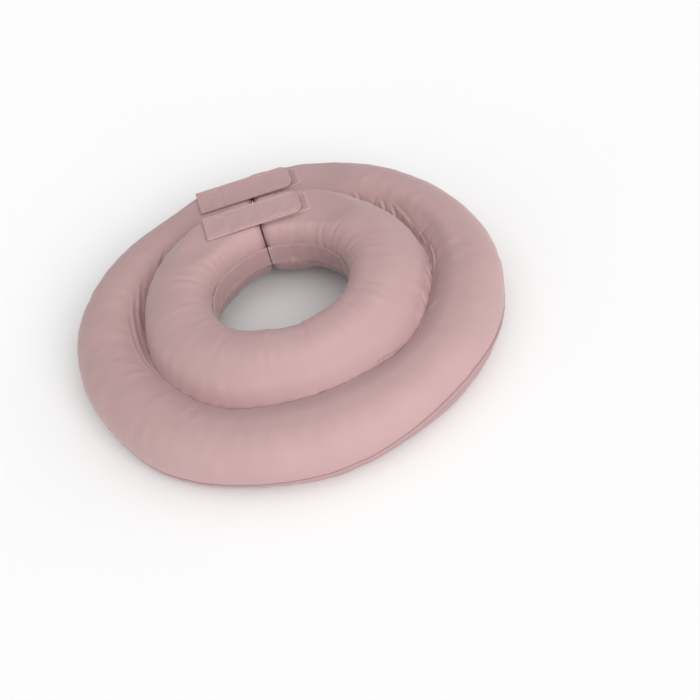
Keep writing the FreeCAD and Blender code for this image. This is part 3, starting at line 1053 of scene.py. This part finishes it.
def floor_material():
    """A plain pale studio floor with a trace of unevenness."""
    n = Nodes("studio_floor")
    place = n.add("ShaderNodeTexCoord").outputs["Object"]
    cloud = n.noise(place, 3.0, 3.0)
    return n.finished({
        "Base Color": n.mix(cloud, (0.93, 0.93, 0.93, 1.0), (0.95, 0.95, 0.95, 1.0)),
        "Roughness": 0.9,
        "Specular IOR Level": 0.1,
    })


PINK = (0.468, 0.300, 0.300)
materials = {
    "cover_fabric": fabric("cover_fabric", PINK),
    # painted shade: the underside is the same fabric as the top, painted 20% darker to stand for
    # the shade under the collar
    "underside_fabric": fabric("underside_fabric", [0.8 * c for c in PINK]),
    "seam_fabric": fabric("seam_fabric", [0.90 * c for c in PINK], creases=0.4),
    "tab_fabric": fabric("tab_fabric", PINK, creases=0.3),
    "loop_tape": pile_material("loop_tape", (0.52, 0.33, 0.33), 1500.0, 0.9),
    "hook_tape": pile_material("hook_tape", (0.45, 0.28, 0.28), 700.0, 0.45),
    "thread": thread_material("thread", (0.62, 0.42, 0.42)),
}


# ---- the collar ----

def build_ring():
    """The ring's covers, with the cord of the rim seam in its furrow."""
    points, normals, uv = skin(ring, "ring")
    rows = ring.rows_at(SKIN_ROWS)
    rim_row = int(np.argmin(np.abs(rows - ring.rim)))
    line, out, across = row_frame(points, normals, rim_row)
    points = points - normals * (1.3 * MM * near(rows, rows[rim_row], 2.6 * MM))[None, :, None]
    cover_pieces(ring, points, grid_normals(points, ring.sign), uv, rim_row)
    for zone in ("left", "right"):
        end_cap(ring, points, zone)
    radius = WELT_R * (1 + 0.05 * grid_noise(COLUMNS, 2, 240, 2)[:, 0])
    around_pieces("rim_welt", tube(line - out * 0.4 * MM, out, across, radius), "rim_welt")


def build_cushion():
    """The cushion's covers, which meet behind the neck band."""
    points, normals, uv = skin(cushion, "neck")
    wall = cushion.arc_near(WALL_R, (BAND_LOW + BAND_HIGH) / 2)
    wall_row = int(np.argmin(np.abs(cushion.rows_at(SKIN_ROWS) - wall)))
    cover_pieces(cushion, points, normals, uv, wall_row)
    for zone in ("left", "right"):
        end_cap(cushion, points, zone)


def build_seam():
    """The cord of the seam between the ring and the cushion."""
    height = SEAM_Z - seam_drop(COLUMNS) - crease_drop(COLUMNS) - 0.5 * MM
    line = to_space(SEAM_R + seam_shift(COLUMNS), 0, height, COLUMNS)
    line = at_slit(line[:, None])[:, 0]
    radial = to_space(1.0, 0, 0.0, COLUMNS)
    upward = np.broadcast_to(UP, radial.shape)
    around_pieces("channel_seam", tube(line, radial, upward, 0.5 * MM, 8), "channel_seam")


def build_band():
    """The neck band and its two rows of stitching."""
    around_pieces("neck_band", neck_band_grid(), "neck_band")
    inward = -to_space(1.0, 0, 0.0, COLUMNS)
    for word, z in (("upper", BAND_HIGH - 2.2 * MM), ("lower", BAND_LOW + 2.2 * MM)):
        line = to_space(WALL_R - 1.25 * MM, 0, z, COLUMNS)
        stitched_round(f"band_{word}_thread", at_slit(line[:, None])[:, 0], inward)


build_ring()
build_cushion()
build_seam()
build_band()
for tab_name in ("ring", "neck"):
    tab(tab_name, "left_half")
    hook_tape(tab_name)
    loop_tape(tab_name)


# ---- studio ----

def build_floor():
    """A large plain floor."""
    corners = 4.0 * np.array([(-1, -1, 0), (1, -1, 0), (1, 1, 0), (-1, 1, 0)])
    make_object("studio_floor", corners, [(0, 1, 2, 3)], material=floor_material())


def build_light():
    """One large, soft light from the throat side, above and to the right."""
    data = bpy.data.lights.new("key", "SUN")
    data.energy = 1.45
    data.angle = math.radians(34)
    lamp = bpy.data.objects.new("key", data)
    bpy.context.scene.collection.objects.link(lamp)
    lamp.location = (0.27, -0.79, 0.55)
    aim = Vector((0, 0, 0.03)) - lamp.location
    lamp.rotation_euler = aim.to_track_quat("-Z", "Y").to_euler()


def build_world():
    """White light from all round, stronger from the throat side."""
    world = bpy.data.worlds.new("studio")
    bpy.context.scene.world = world
    world.use_nodes = True
    nodes, links = world.node_tree.nodes, world.node_tree.links
    background = nodes["Background"]
    background.inputs["Color"].default_value = (1.0, 1.0, 1.0, 1.0)
    ways = nodes.new("ShaderNodeTexCoord")
    towards = nodes.new("ShaderNodeVectorMath")
    towards.operation = "DOT_PRODUCT"
    towards.inputs[1].default_value = (0.30, -0.95, 0.0)
    shade = nodes.new("ShaderNodeMapRange")
    shade.inputs["From Min"].default_value = -1.0
    shade.inputs["To Min"].default_value = 0.40
    shade.inputs["To Max"].default_value = 1.20
    links.new(ways.outputs["Generated"], towards.inputs[0])
    links.new(towards.outputs["Value"], shade.inputs["Value"])
    links.new(shade.outputs["Result"], background.inputs["Strength"])


def build_camera():
    """The photograph's view: from the throat side, well above the collar's plane, and rolled."""
    elevation, roll, distance = math.radians(41.14), math.radians(-17.69), 1.6
    data = bpy.data.cameras.new("camera")
    data.sensor_width = 36.0
    data.lens = 99.2
    data.shift_x, data.shift_y = 0.0885, -0.0522
    camera = bpy.data.objects.new("camera", data)
    bpy.context.scene.collection.objects.link(camera)
    back = Vector((0, -math.cos(elevation), math.sin(elevation)))
    look = (-back).to_track_quat("-Z", "Y").to_matrix().to_4x4()
    place = Matrix.Translation(Vector((0, 0, 0.027)) + back * distance)
    camera.matrix_world = place @ look @ Matrix.Rotation(roll, 4, "Z")
    bpy.context.scene.camera = camera


build_floor()
build_light()
build_world()
build_camera()
bpy.context.scene.view_settings.view_transform = "Standard"
